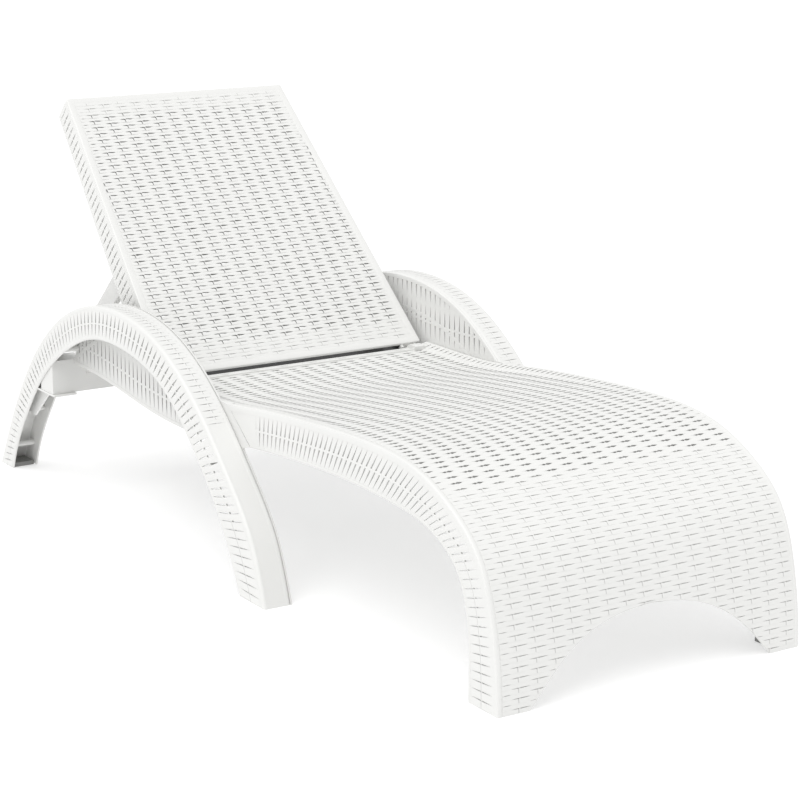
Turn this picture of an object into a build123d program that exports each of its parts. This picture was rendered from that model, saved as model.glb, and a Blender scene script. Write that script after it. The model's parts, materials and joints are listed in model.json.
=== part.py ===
"""Reclining sun lounger in moulded resin, one function for each kind of piece.

Outlines are drawn in (Y, Z) with Y = 0 at the foot end, then every piece is moved so that the
origin is at the middle of the length, on the ground. +Y runs to the head, +Z up, -X is "left".
"""
import os
from math import cos, radians, sin, tan

from build123d import *

# ---- driving dimensions, millimetres ----
DECK_HALF = 310.0          # half the width over the skirts and over the arms' inner panels
ARM_HALF = 364.0           # half the width over the arms
WALL = 4.0                 # moulded wall
GAP = 0.3                  # between pieces that only stand side by side
LENGTH = 1828.0            # foot to the rear legs
BACK_REST = 43.7           # the stored recline, degrees above flat
BACK_LENGTH = 699.0
BACK_HALF_LOW = 294.0      # half width of the back at the hinge
BACK_HALF_HIGH = 254.0     # and at its head end
BACK_DEPTH_LOW = 78.0      # side skirt depth at the hinge
BACK_DEPTH_HIGH = 60.0
SEAT_Z = 316.0             # top of the seat at the hinge
SEAT_END = 1150.0          # rear edge of the seat moulding
HINGE_DROP = 24.0          # hinge axis below the seat surface
PIN_R = 5.0
PIN_FIT = 0.05             # radial clearance of a pin in its hole
PROP_REACH = 319.0         # hinge to prop pivot, and prop pivot to prop bar
PROP_DROP_ANGLE = 2.0      # the prop pivot lies this much behind the hinge line
BAR_R = 8.0
RAIL_IN = 198.0            # notched rails, |X| from RAIL_IN to RAIL_OUT
RAIL_OUT = 222.0
RAIL_BOTTOM = 244.0
BEAM_Y = (1545.0, 1605.0)
BEAM_BOTTOM = 208.0
BEAM_END_TOP = 278.0       # of the beam's box ends, in the rear legs
SHELL_IN = DECK_HALF + GAP
PANEL_IN = DECK_HALF - WALL
DECK_REAR_HALF = PANEL_IN - 0.4
BOLT_R = 4.0
HEAD_R = 6.5
HEAD_H = 4.5
RIB_DEPTH = 26.0           # of the ribs under the seat, with the top's wall
RIB_HALF = 1.5
REAR_WALL = (1120.0, 1124.0)   # seat's rear wall, which carries the ears and the rails
EAR_R = 14.0               # round end of every hinge ear
SEAT_EAR = (252.0, 276.6)  # hinge ears, as |X| from and to
BACK_EARS = ((246.0, 251.7), (276.9, 282.6))
PROP_EARS = ((226.0, 230.0), (248.0, 252.0))
PROP_ARM = (232.5, 245.5)
PIN_HEAD_R = 8.0
BAR_HALF = 248.5
SHELF_TOP = BEAM_BOTTOM - GAP

# ---- fasteners: arm bolts and screws as (Y, Z), rail bolts as (X, Z) ----
ARM_BOLTS = [(872, 272), (905, 296)]
RAIL_BOLTS = [(190, 263.5), (230, 263.5)]
BEAM_BOLT_X = 325.0
BEAM_BOLT_Y = 1575.0
RAIL_BOLT_X = 206.0
ARM_SCREWS = [(718, 50), (771, 140), (852, 222), (1525, 305), (1710, 140), (1772, 50)]
HOLE_R = BOLT_R + 0.2
SCREW_R = 2.4

# The back's lower edge lies on the seat plane both flat and at the stored recline
EDGE_AHEAD = HINGE_DROP * tan(radians(BACK_REST / 2))
HINGE = (SEAT_END + 11 + EDGE_AHEAD, SEAT_Z - HINGE_DROP)
PROP_ANGLE = BACK_REST - PROP_DROP_ANGLE
PIVOT = (HINGE[0] + PROP_REACH * cos(radians(PROP_ANGLE)),
         HINGE[1] + PROP_REACH * sin(radians(PROP_ANGLE)))
BAR = (HINGE[0] + 2 * PROP_REACH * cos(radians(PROP_ANGLE)), HINGE[1])
PIVOT_FLAT = (HINGE[0] + PROP_REACH * cos(radians(PROP_DROP_ANGLE)),
              HINGE[1] - PROP_REACH * sin(radians(PROP_DROP_ANGLE)))
BAR_FLAT_Y = HINGE[0] + 2 * PROP_REACH * cos(radians(PROP_DROP_ANGLE))
RACK_TOP = BAR[1] - BAR_R - GAP
STOPS = (65.0, 58.0, 51.0, BACK_REST, 36.5, 29.0)

# ---- outlines in (Y, Z) ----
DECK_TOP = [(0, 0), (19, 152), (60, 247), (132, 305), (221, 343), (385, 360), (620, 349),
            (767, 336), (908, 320), (1030, 316), (SEAT_END, SEAT_Z)]
SKIRT_LOW = [(83, 0), (90, 143), (118, 208), (181, 251), (300, 273), (450, 278), (682, 268),
             (794, 258)]
ARM_OUTER = [(650, 0), (700, 118), (780, 210), (880, 303), (1040, 402), (1238, 439), (1414, 412),
             (1554, 341), (1679, 225), (1781, 81), (LENGTH, 0)]
ARM_INNER = [(744, 0), (801, 103), (921, 240), (1029, 322), (1144, 360), (1240, 370), (1329, 365),
             (1454, 323), (1598, 228), (1685, 132), (1747, 39), (1764, 0)]
RAIL_LOW = [(820, 250), (1059, 236), (1199, 241), (1423, 264), (1540, 268)]
JOIN = [(876, 322.6), (794, 258)]          # slanted end of the skirt, and front edge of the panel

os.makedirs("parts", exist_ok=True)


# ---- helpers ----
def prism(face, x0, x1):
    """A face drawn in (Y, Z), made solid from X = x0 to X = x1."""
    return Pos(x0, 0, 0) * extrude(Plane.YZ * face, amount=x1 - x0)


def outline(*edges):
    return make_face(Wire(edges))


def polygon(*points):
    return make_face(Polyline(*points, close=True))


def block(x, y, z):
    """A box from its (low, high) pairs."""
    size = [high - low for low, high in (x, y, z)]
    centre = [(high + low) / 2 for low, high in (x, y, z)]
    return Pos(*centre) * Box(*size)


def rod_x(y, z, radius, x0, x1):
    return Pos((x0 + x1) / 2, y, z) * Rot(0, 90, 0) * Cylinder(radius, x1 - x0)


def rod_y(x, z, radius, y0, y1):
    return Pos(x, (y0 + y1) / 2, z) * Rot(90, 0, 0) * Cylinder(radius, y1 - y0)


def rod_z(x, y, radius, z0, z1):
    return Pos(x, y, (z0 + z1) / 2) * Cylinder(radius, z1 - z0)


def mirrored(shape):
    return mirror(shape, about=Plane.YZ)


def both(shape):
    """The same solids on the left and on the right."""
    return [*shape.solids(), *mirrored(shape).solids()]


def group(shapes):
    """Separate solids in one node."""
    return Compound(children=[solid for shape in shapes for solid in shape.solids()])


def save(name, shape):
    """Write one piece, moved so that the origin is at the middle of the length."""
    moved = Pos(0, -LENGTH / 2, 0) * shape
    export_step(moved, f"parts/{name}.step")


def save_pair(name, right):
    save(name + "_right", right)
    save(name + "_left", mirrored(right))


def inset(edge, depth, count=24):
    """Points at a depth to the right of an edge, which is inside for the outlines here."""
    points = []
    for step in range(count + 1):
        along = step / count
        point = edge.position_at(along)
        way = edge.tangent_at(along)
        points.append((point.X + way.Y * depth, point.Y - way.X * depth))
    return points


# ---- shared shapes ----
deck_line = Spline(*DECK_TOP, tangents=[(0, 1), (1, 0)])
deck_inner = inset(deck_line, WALL)
outer_arch = Spline(*ARM_OUTER)
inner_arch = Spline(*ARM_INNER)
outer_face = outline(outer_arch, Line(ARM_OUTER[-1], ARM_OUTER[0]))
inner_face = outline(inner_arch, Line(ARM_INNER[-1], ARM_INNER[0]))
band_inner = inset(outer_arch, WALL)
band_face = outline(Spline(*band_inner), Line(band_inner[-1], (band_inner[-1][0], -20)),
                    Line((band_inner[-1][0], -20), (band_inner[0][0], -20)),
                    Line((band_inner[0][0], -20), band_inner[0]))
ring_face = outer_face - inner_face


def seat_deck():
    """Thin top with skirts: full width ahead of the arms, narrower between their inner panels."""
    front_low = Spline(*reversed(SKIRT_LOW), tangents=[(-1, -0.1), (0, -1)])
    whole = outline(deck_line, Line(DECK_TOP[-1], (SEAT_END, 256)), Line((SEAT_END, 256), SKIRT_LOW[-1]),
                    front_low, Line(SKIRT_LOW[0], DECK_TOP[0]))
    ahead = polygon((-50, -50), (700, -50), JOIN[1], JOIN[0], (876, 420), (-50, 420))
    wide = prism(whole & ahead, -DECK_HALF, DECK_HALF)
    narrow = prism(whole, -DECK_REAR_HALF, DECK_REAR_HALF)
    hollow = outline(Spline(*deck_inner), Line(deck_inner[-1], (SEAT_END, -40)),
                     Line((SEAT_END, -40), (WALL, -40)), Line((WALL, -40), deck_inner[0]))
    ahead_inside = polygon((-50, -50), (695, -50), (788, 258), (870, 322.6), (870, 420), (-50, 420))
    inside = DECK_HALF - WALL
    deck = wide + narrow
    deck -= prism(hollow & ahead_inside, -inside, inside)
    deck -= prism(hollow, WALL - DECK_REAR_HALF, DECK_REAR_HALF - WALL)
    # the rear wall, which carries the hinge ears and the rails
    reach = DECK_REAR_HALF - WALL
    deck += block((-reach, reach), REAR_WALL, (246, SEAT_Z - WALL))
    # stiffening ribs under the top
    rib_zone = hollow & polygon((150, 150), (1121, 250), (1121, 330), (700, 350), (400, 370), (150, 340))
    below = inset(deck_line, RIB_DEPTH)
    open_below = outline(Spline(*below), Line(below[-1], (SEAT_END, -40)),
                         Line((SEAT_END, -40), (RIB_DEPTH, -40)), Line((RIB_DEPTH, -40), below[0]))
    rib = prism(rib_zone - open_below, -RIB_HALF, RIB_HALF)
    for x in (-200, -100, 0, 100, 200):
        deck += Pos(x, 0, 0) * rib
    # hinge ears
    ear = outline(Line((1120, 262), (1120, SEAT_Z + 2)), Line((1120, SEAT_Z + 2), (1143, SEAT_Z + 2)),
                  Line((1143, SEAT_Z + 2), (1160, 302)), Line((1160, 302), (HINGE[0], 302)),
                  Line((HINGE[0], 302), (HINGE[0], 278)), Line((HINGE[0], 278), (1120, 262)))
    tongue = prism(ear, *SEAT_EAR) + rod_x(*HINGE, EAR_R, *SEAT_EAR)
    tongue += block(SEAT_EAR, (1117, 1143), (SEAT_Z - 6, SEAT_Z + 2))
    tongue -= rod_x(*HINGE, PIN_R + PIN_FIT, 240, 290)
    for piece in both(tongue):
        deck += piece
    # the arched foot cut-out
    arch = make_face([ThreePointArc((-247, 0), (-157, 88), (-90, 118)),
                      ThreePointArc((-90, 118), (0, 130), (90, 118)),
                      ThreePointArc((90, 118), (157, 88), (247, 0)), Line((247, 0), (247, -10)),
                      Line((247, -10), (-247, -10)), Line((-247, -10), (-247, 0))])
    deck -= Pos(0, 60, 0) * extrude(Plane.XZ * arch, amount=90)
    for y, z in ARM_BOLTS:
        deck -= rod_x(y, z, HOLE_R, -330, 330)
    for x, z in RAIL_BOLTS:
        deck -= rod_y(x, z, HOLE_R, 1110, 1130) + rod_y(-x, z, HOLE_R, 1110, 1130)
    return deck


def arm_shell():
    """Right arm: top band and outer ring wall, with screw bosses and the shelf for the cross beam."""
    shell = prism(outer_face - band_face, SHELL_IN, ARM_HALF)
    shell += prism(ring_face, ARM_HALF - WALL, ARM_HALF)
    for y, z in ARM_SCREWS:
        shell += rod_x(y, z, 6, SHELL_IN, ARM_HALF - WALL / 2)
        shell -= rod_x(y, z, SCREW_R + 0.1, SHELL_IN - 1, SHELL_IN + 30)
    shelf_low = SHELF_TOP - WALL
    shelf = polygon((1535, shelf_low), (1535, SHELF_TOP), (1690, SHELF_TOP), (1690, shelf_low))
    shell += prism(shelf & outer_face, SHELL_IN, ARM_HALF - WALL / 2)
    gusset = polygon((1590, shelf_low), (1672, 135), (1740, 135), (1690, shelf_low))
    shell += prism(gusset & outer_face, 343, 347)
    shell -= rod_z(BEAM_BOLT_X, BEAM_BOLT_Y, HOLE_R, 195, 215)
    return shell


def arm_panel():
    """Right arm's inner wall: the ring, the rail below it and the strip ahead of the leg."""
    low = outline(Line((JOIN[0][0] + 0.5, JOIN[0][1]), (JOIN[1][0] + 0.5, JOIN[1][1])),
                  Line((JOIN[1][0] + 0.5, JOIN[1][1]), RAIL_LOW[0]), Spline(*RAIL_LOW),
                  Line(RAIL_LOW[-1], (1540, 400)), Line((1540, 400), (1540, 440)),
                  Line((1540, 440), (914, 440)), Line((914, 440), (914, 322.6)),
                  Line((914, 322.6), (JOIN[0][0] + 0.5, JOIN[0][1])))
    ahead = polygon((780, 240), (821, 240), (908, 322.7), (860, 323))
    face = ring_face + (low & outer_face) + (low & ahead)
    panel = prism(face, PANEL_IN, DECK_HALF)
    panel -= block((300, 320), (BEAM_Y[0] - GAP, BEAM_Y[1] + GAP), (150, BEAM_END_TOP + GAP))
    for y, z in ARM_SCREWS:
        panel -= rod_x(y, z, SCREW_R + 0.2, 300, 320)
    for y, z in ARM_BOLTS:
        panel -= rod_x(y, z, HOLE_R, 300, 320)
    return panel


def backrest():
    """Shallow tray, drawn flat and then turned up about the hinge."""
    y0 = HINGE[0] + EDGE_AHEAD
    y1 = y0 + BACK_LENGTH

    def tray(side, top):
        corners = [(-BACK_HALF_LOW + side, y0 - 0.01 * side), (BACK_HALF_LOW - side, y0 - 0.01 * side),
                   (BACK_HALF_HIGH - side, y1 - side), (-BACK_HALF_HIGH + side, y1 - side)]
        plan = make_face(Polyline(*corners, close=True))
        return Pos(0, 0, SEAT_Z - top) * extrude(plan, amount=-120)

    side_view = polygon((y0 - 1, SEAT_Z + 1), (y1 + 1, SEAT_Z + 1), (y1 + 1, SEAT_Z - BACK_DEPTH_HIGH),
                        (y0 - 1, SEAT_Z - BACK_DEPTH_LOW))
    envelope = prism(side_view, -300, 300)
    back = tray(0, 0) & envelope
    hollow = tray(WALL + 0.5, WALL) & block((-300, 300), (y0 + WALL, y1), (150, SEAT_Z))
    back -= hollow
    # the lower end wall is shallow, to clear the rails
    clear = BACK_HALF_LOW - WALL - 0.5
    end_wall = (y0 - 5, y0 + WALL + 1)
    back -= block((-clear, clear), end_wall, (150, SEAT_Z - 22))
    for x in (-185, -95, 0, 95, 185):
        back += block((x - RIB_HALF, x + RIB_HALF), (y0 + 2, y1 - WALL), (SEAT_Z - 28, SEAT_Z - WALL + 0.5))
    for step in range(1, 6):
        y = y0 + step * BACK_LENGTH / 6
        back += block((-185, 185), (y - RIB_HALF, y + RIB_HALF), (SEAT_Z - 20, SEAT_Z - WALL + 0.5))
    # room for the prop bar when the back lies flat
    room = BAR_R + 3
    bar_slot = (BAR_FLAT_Y - room, BAR_FLAT_Y + room)
    back -= block((-BAR_HALF - 1, BAR_HALF + 1), bar_slot, (150, HINGE[1] + room))
    # room for the seat's hinge ears
    for notch in both(block((SEAT_EAR[0] - 0.6, SEAT_EAR[1] + 0.6), end_wall, (150, SEAT_Z - WALL))):
        back -= notch
    for x0, x1 in BACK_EARS:
        ear = rod_x(*HINGE, EAR_R, x0, x1)
        ear += block((x0, x1), (HINGE[0] + 3, HINGE[0] + 60), (HINGE[1] - 10, SEAT_Z - WALL + 0.5))
        back += both(ear)
    for x0, x1 in PROP_EARS:
        ear = rod_x(*PIVOT_FLAT, EAR_R, x0, x1)
        foot = (PIVOT_FLAT[0] - 24, PIVOT_FLAT[0] + 24)
        ear += block((x0, x1), foot, (PIVOT_FLAT[1], SEAT_Z - WALL + 0.5))
        back += both(ear)
    for x in (-1, 1):
        back -= rod_x(*HINGE, PIN_R + PIN_FIT, min(x * 240, x * 286), max(x * 240, x * 286))
        back -= rod_x(*PIVOT_FLAT, PIN_R + PIN_FIT, min(x * 220, x * 256), max(x * 220, x * 256))
    return Pos(0, *HINGE) * Rot(BACK_REST, 0, 0) * Pos(0, -HINGE[0], -HINGE[1]) * back


def hinge_pin():
    """Headed pin through the ears, with a groove for its clip."""
    pin = rod_x(*HINGE, PIN_R, 241, 283) + rod_x(*HINGE, PIN_HEAD_R, 283, 286)
    groove = rod_x(*HINGE, PIN_R + 1, 243, 244.5) - rod_x(*HINGE, PIN_R - 1, 243, 244.5)
    return pin - groove


def prop_pin():
    pin = rod_x(*PIVOT, PIN_R, 223, 252.4) + rod_x(*PIVOT, PIN_HEAD_R, 252.4, 255.4)
    groove = rod_x(*PIVOT, PIN_R + 1, 224.2, 225.7) - rod_x(*PIVOT, PIN_R - 1, 224.2, 225.7)
    return pin - groove


def clip(centre, x0, x1):
    """A push-on ring that sits in a pin's groove, split on one side."""
    ring = rod_x(*centre, PIN_HEAD_R, x0, x1) - rod_x(*centre, PIN_R - 0.95, x0, x1)
    return ring - block((x0 - 1, x1 + 1), (centre[0] - 2.5, centre[0] + 2.5), (centre[1], centre[1] + 12))


def prop_arm():
    """Flat link from the prop pivot to the prop bar, wider on its front side below the pivot."""
    run = Line(PIVOT, BAR)
    way = run.tangent_at(0)

    def off_line(share, offset):
        """A point at a share of the link's length, and offset to the rear (+) or the front (-)."""
        at = run.position_at(share)
        return (at.X - way.Y * offset, at.Y + way.X * offset)

    low_r = BAR_R + 3.5
    edge = [off_line(0, EAR_R), off_line(1, low_r), off_line(1, -low_r), off_line(0.6, -27),
            off_line(0.22, -31), off_line(0, -EAR_R)]
    arm = prism(polygon(*edge), *PROP_ARM)
    arm += rod_x(*PIVOT, EAR_R, *PROP_ARM) + rod_x(*BAR, low_r, *PROP_ARM)
    arm -= rod_x(*PIVOT, PIN_R + PIN_FIT, 230, 250)
    arm -= rod_x(*BAR, BAR_R + PIN_FIT, 230, 250)
    return arm


def rail():
    """Notched rail, open on its inner side, with an end flange against the seat's rear wall."""
    body = block((RAIL_IN, RAIL_OUT), (1124.3, 1800), (RAIL_BOTTOM, RACK_TOP))
    body -= block((RAIL_IN - 1, RAIL_OUT - 4), (1134, 1790), (RAIL_BOTTOM + 6, RACK_TOP - 9))
    body += block((182, 238), (1124.3, 1129), (RAIL_BOTTOM + 6, RACK_TOP - 7))
    for stop in STOPS:
        y = HINGE[0] + 2 * PROP_REACH * cos(radians(stop - PROP_DROP_ANGLE))
        body -= rod_x(y, RACK_TOP + 5.6, 9, RAIL_IN - 1, RAIL_OUT + 1)
    for x, z in RAIL_BOLTS:
        body -= rod_y(x, z, HOLE_R, 1120, 1132)
    body -= rod_z(RAIL_BOLT_X, BEAM_BOLT_Y, HOLE_R, 240, 255)
    return body


def rear_beam():
    """Channel open below, with closed box ends that stand on the shelves in the rear legs."""
    top = RAIL_BOTTOM - GAP
    end = ARM_HALF - WALL - GAP
    beam = block((-end, end), BEAM_Y, (BEAM_BOTTOM, top))
    beam -= block((-285, 285), (BEAM_Y[0] + WALL, BEAM_Y[1] - WALL), (BEAM_BOTTOM - 1, top - WALL))
    inner_y = (BEAM_Y[0] + WALL, BEAM_Y[1] - WALL)
    tower = block((285, end), BEAM_Y, (BEAM_BOTTOM, BEAM_END_TOP))
    tower -= block((289, end - WALL), inner_y, (BEAM_BOTTOM + WALL, BEAM_END_TOP - WALL))
    for side in both(block((286, end), BEAM_Y, (BEAM_BOTTOM, top))):
        beam -= side
    for side in both(tower):
        beam += side
    for x in (-BEAM_BOLT_X, BEAM_BOLT_X):
        beam -= rod_z(x, BEAM_BOLT_Y, HOLE_R, 200, 220)
    for x in (-RAIL_BOLT_X, RAIL_BOLT_X):
        beam -= rod_z(x, BEAM_BOLT_Y, HOLE_R, 230, 250)
    return beam


def fastener(place, length):
    """Bolt along local Z: head below zero, shank above it, as one solid."""
    head = Pos(0, 0, -HEAD_H / 2) * Cylinder(HEAD_R, HEAD_H)
    return place * (head + Pos(0, 0, length / 2) * Cylinder(BOLT_R, length))


def nut(place, height=5.0):
    plate = extrude(RegularPolygon(HEAD_R + 0.5, 6), amount=height)
    return place * (plate - Cylinder(BOLT_R + 0.05, 4 * height))


def arm_bolt_set():
    bolts = []
    nuts = []
    for y, z in ARM_BOLTS:
        head_at = Pos(DECK_HALF + 0.1, y, z) * Rot(0, -90, 0)
        bolts += both(fastener(head_at, 16))
        nuts += both(nut(Pos(DECK_REAR_HALF - WALL - 0.1, y, z) * Rot(0, -90, 0)))
    return group(bolts), group(nuts)


def rail_bolt_set():
    bolts = []
    nuts = []
    for x, z in RAIL_BOLTS:
        bolts += both(fastener(Pos(x, REAR_WALL[0] - 0.1, z) * Rot(-90, 0, 0), 17))
        nuts += both(nut(Pos(x, 1129.1, z) * Rot(-90, 0, 0)))
    return group(bolts), group(nuts)


def beam_bolt_set():
    """Two bolts up through the leg shelves, and two through the rails' lower flanges."""
    bolts = both(fastener(Pos(BEAM_BOLT_X, BEAM_BOLT_Y, SHELF_TOP - WALL - 0.1), 17))
    bolts += both(fastener(Pos(RAIL_BOLT_X, BEAM_BOLT_Y, RAIL_BOTTOM - GAP - WALL - 0.1), 18))
    nuts = both(nut(Pos(BEAM_BOLT_X, BEAM_BOLT_Y, 212.1)))
    nuts += both(nut(Pos(RAIL_BOLT_X, BEAM_BOLT_Y, 250.1)))
    return group(bolts), group(nuts)


def arm_screw():
    """Screws through the inner panel into the shell's bosses."""
    under_head = PANEL_IN - 0.1
    screws = []
    for y, z in ARM_SCREWS:
        head = rod_x(y, z, 4.5, under_head - 2.5, under_head)
        screws.append(rod_x(y, z, SCREW_R, under_head, SHELL_IN + 22) + head)
    return screws


def leg_glide(y_low, y_high):
    """A pad in the hollow of a leg, flush with its lower edge."""
    walls = outer_face & band_face
    zone = (walls - inner_face) & polygon((y_low, 0), (y_high, 0), (y_high, 9), (y_low, 9))
    return prism(zone, SHELL_IN + 2, ARM_HALF - WALL - GAP)


save("seat_deck", seat_deck())
save("backrest", backrest())
save_pair("arm_shell", arm_shell())
save_pair("arm_panel", arm_panel())
save_pair("hinge_pin", hinge_pin())
save("hinge_clips", group(both(clip(HINGE, 243.1, 244.4))))
save_pair("prop_arm", prop_arm())
save("prop_bar", rod_x(*BAR, BAR_R, -BAR_HALF, BAR_HALF))
save_pair("prop_pin", prop_pin())
save("prop_clips", group(both(clip(PIVOT, 224.3, 225.6))))
save_pair("rail", rail())
save("rear_beam", rear_beam())
for label, (bolts, nuts) in (("arm", arm_bolt_set()), ("rail", rail_bolt_set()), ("beam", beam_bolt_set())):
    save(f"{label}_bolts", bolts)
    save(f"{label}_nuts", nuts)
screws = group(arm_screw())
save_pair("arm_screws", screws)
save_pair("glide_front", leg_glide(600, 735))
save_pair("glide_rear", leg_glide(1770, 1900))
save_pair("glide_foot", block((266, 305.5), (5.5, 62), (0, 9)))
print("hinge", HINGE, "pivot", PIVOT, "bar", BAR, "rack top", RACK_TOP)
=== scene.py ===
# %% [markdown]
# # A reclining sun lounger in white moulded resin
# The CAD frame gives every size and every moving body. This file adds the wicker look: a mould-cut weave
# of strands with slits between them, smooth rims round it, and the resin, steel and rubber they are made of.
# Everything is in metres, in the same frame as the CAD.

# %% Load the fixed frame
import json
from math import cos, pi, radians, sin, tan

import bpy
import numpy as np
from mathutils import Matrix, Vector


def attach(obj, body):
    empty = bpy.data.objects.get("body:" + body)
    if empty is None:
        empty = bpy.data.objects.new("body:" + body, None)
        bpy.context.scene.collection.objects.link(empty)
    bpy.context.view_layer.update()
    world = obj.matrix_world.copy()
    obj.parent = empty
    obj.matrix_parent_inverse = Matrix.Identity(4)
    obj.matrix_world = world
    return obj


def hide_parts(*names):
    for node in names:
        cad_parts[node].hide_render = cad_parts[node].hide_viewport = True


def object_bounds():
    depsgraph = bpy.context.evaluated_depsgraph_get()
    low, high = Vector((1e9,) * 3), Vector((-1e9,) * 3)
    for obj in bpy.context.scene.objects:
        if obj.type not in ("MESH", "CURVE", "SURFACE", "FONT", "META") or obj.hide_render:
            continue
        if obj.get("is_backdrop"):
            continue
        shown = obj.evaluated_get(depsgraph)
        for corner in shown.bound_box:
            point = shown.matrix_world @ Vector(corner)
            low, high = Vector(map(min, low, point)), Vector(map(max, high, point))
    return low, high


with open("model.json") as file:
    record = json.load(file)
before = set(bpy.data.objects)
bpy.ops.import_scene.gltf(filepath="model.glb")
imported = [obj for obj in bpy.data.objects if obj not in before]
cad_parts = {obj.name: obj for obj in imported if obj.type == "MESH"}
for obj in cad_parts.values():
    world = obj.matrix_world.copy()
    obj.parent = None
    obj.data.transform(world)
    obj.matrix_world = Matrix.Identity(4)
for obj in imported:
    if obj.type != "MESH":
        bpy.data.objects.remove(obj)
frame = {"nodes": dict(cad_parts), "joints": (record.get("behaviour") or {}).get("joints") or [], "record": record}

cad_low, cad_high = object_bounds()
print("CAD box", tuple(cad_low), tuple(cad_high))

# %% [markdown]
# The outlines are the ones that the mould was drawn with, in millimetres, with Y = 0 at the foot end.
# A drawing in millimetres is easier to read than one in metres, so one number turns them at the end.

# %% Outlines and sizes of the moulding, in millimetres
MM = 0.001
LENGTH = (cad_high[1] - cad_low[1]) / MM
ARM_HALF = cad_high[0] / MM
DECK_HALF = 310.0          # over the deck's skirts
DECK_REAR_HALF = 305.6     # the same, behind the arms' flange
PANEL_IN = 306.0           # inner face of an arm's inner wall
SHELL_IN = 310.3           # inner face of an arm's outer moulding
SEAT_Z = 316.0
BACK_REST = 43.7           # degrees above flat at which the frame holds the back
BACK_LENGTH = 699.0
BACK_HALF = (294.0, 254.0)   # half widths at the lower and the upper edge
BACK_DEPTH = (78.0, 60.0)    # depths of the back's skirts at the same edges
HINGE = (LENGTH / 2 + frame["joints"][0]["pos_m"][1] / MM, frame["joints"][0]["pos_m"][2] / MM)
EDGE_AHEAD = (SEAT_Z - HINGE[1]) * tan(radians(BACK_REST / 2))
BACK_Y = HINGE[0] + EDGE_AHEAD    # lower edge of the back when it lies flat
DECK_TOP = [(0, 0), (19, 152), (60, 247), (132, 305), (221, 343), (385, 360), (620, 349),
            (767, 336), (908, 320), (1030, 316), (1150, 316)]
SKIRT_LOW = [(83, 0), (90, 143), (118, 208), (181, 251), (300, 273), (450, 278), (682, 268), (794, 258)]
ARM_OUTER = [(650, 0), (700, 118), (780, 210), (880, 303), (1040, 402), (1238, 439), (1414, 412),
             (1554, 341), (1679, 225), (1781, 81), (1828, 0)]
ARM_INNER = [(744, 0), (801, 103), (921, 240), (1029, 322), (1144, 360), (1240, 370), (1329, 365),
             (1454, 323), (1598, 228), (1685, 132), (1747, 39), (1764, 0)]
RAIL_LOW = [(820, 250), (1059, 236), (1199, 241), (1423, 264), (1540, 268)]
ARCH = [(-247, 0), (-157, 88), (-90, 118), (0, 130), (90, 118), (157, 88), (247, 0)]
SCREWS = [(718, 50), (771, 140), (852, 222), (1525, 305), (1710, 140), (1772, 50)]
print("hinge at", HINGE)

# %% [markdown]
# An outline with few points needs a smooth line through them. A cubic spline is the draughtsman's bent batten:
# each span is a cubic, and the slopes at the points are solved so that the bending is continuous.


# %% A smooth line through points
def smooth_line(points, start=None, end=None, count=1500):
    """Cubic spans between the points, with slopes m solved from
    h1*m0 + 2(h0+h1)*m1 + h0*m2 = 3(h1*(p1-p0)/h0 + h0*(p2-p1)/h1), where h is a span's length.
    The result is even steps of arc length s, with the point and its outward normal at each."""
    p = np.array(points, float) * MM
    t = np.concatenate([[0], np.cumsum(np.linalg.norm(np.diff(p, axis=0), axis=1))])
    h = np.diff(t)
    n = len(p)
    rise = np.diff(p, axis=0) / h[:, None]
    a = np.zeros((n, n))
    b = np.zeros((n, 2))
    for i in range(1, n - 1):
        a[i, i - 1:i + 2] = h[i], 2 * (h[i - 1] + h[i]), h[i - 1]
        b[i] = 3 * (h[i] * rise[i - 1] + h[i - 1] * rise[i])
    a[0, :2], b[0] = ((2, 1), 3 * rise[0]) if start is None else ((1, 0), start)
    a[-1, -2:], b[-1] = ((1, 2), 3 * rise[-1]) if end is None else ((0, 1), end)
    m = np.linalg.solve(a, b)
    x = np.linspace(0, t[-1], 4 * count)
    i = np.clip(np.searchsorted(t, x, side="right") - 1, 0, n - 2)
    q = ((x - t[i]) / h[i])[:, None]
    hh = h[i][:, None]
    line = ((1 + 2 * q) * (1 - q) ** 2 * p[i] + q * (1 - q) ** 2 * hh * m[i]
            + q * q * (3 - 2 * q) * p[i + 1] + q * q * (q - 1) * hh * m[i + 1])
    s = np.concatenate([[0], np.cumsum(np.linalg.norm(np.diff(line, axis=0), axis=1))])
    even = np.linspace(0, s[-1], count)
    line = np.stack([np.interp(even, s, line[:, 0]), np.interp(even, s, line[:, 1])], 1)
    way = np.gradient(line, even, axis=0)
    way /= np.linalg.norm(way, axis=1)[:, None]
    return {"s": even, "p": line, "n": np.stack([-way[:, 1], way[:, 0]], 1), "length": s[-1]}


def along(line, s):
    """Point and outward normal at arc length s, as four arrays y, z, ny, nz."""
    return [np.interp(s, line["s"], line[key][:, i]) for key in "pn" for i in (0, 1)]


def reach(line, y):
    """Arc length at which a line that runs forwards first gets to y, in metres."""
    return float(np.interp(y, np.maximum.accumulate(line["p"][:, 0]), line["s"]))


deck_line = smooth_line(DECK_TOP, (0, 1), (1, 0))
skirt_line = smooth_line(SKIRT_LOW, (0, 1), (1, -0.1))
outer_arch = smooth_line(ARM_OUTER)
inner_arch = smooth_line(ARM_INNER)
rail_line = smooth_line(RAIL_LOW)
foot_arch = smooth_line(ARCH)
print("deck line", round(deck_line["length"], 4), "m, arm", round(outer_arch["length"], 4), "m")

# %% [markdown]
# Every surface here is a closed shell: rings of points joined into a tube with capped ends, or a ring of
# rings. A shell whose volume comes out negative is inside out, so its faces are turned.


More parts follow.
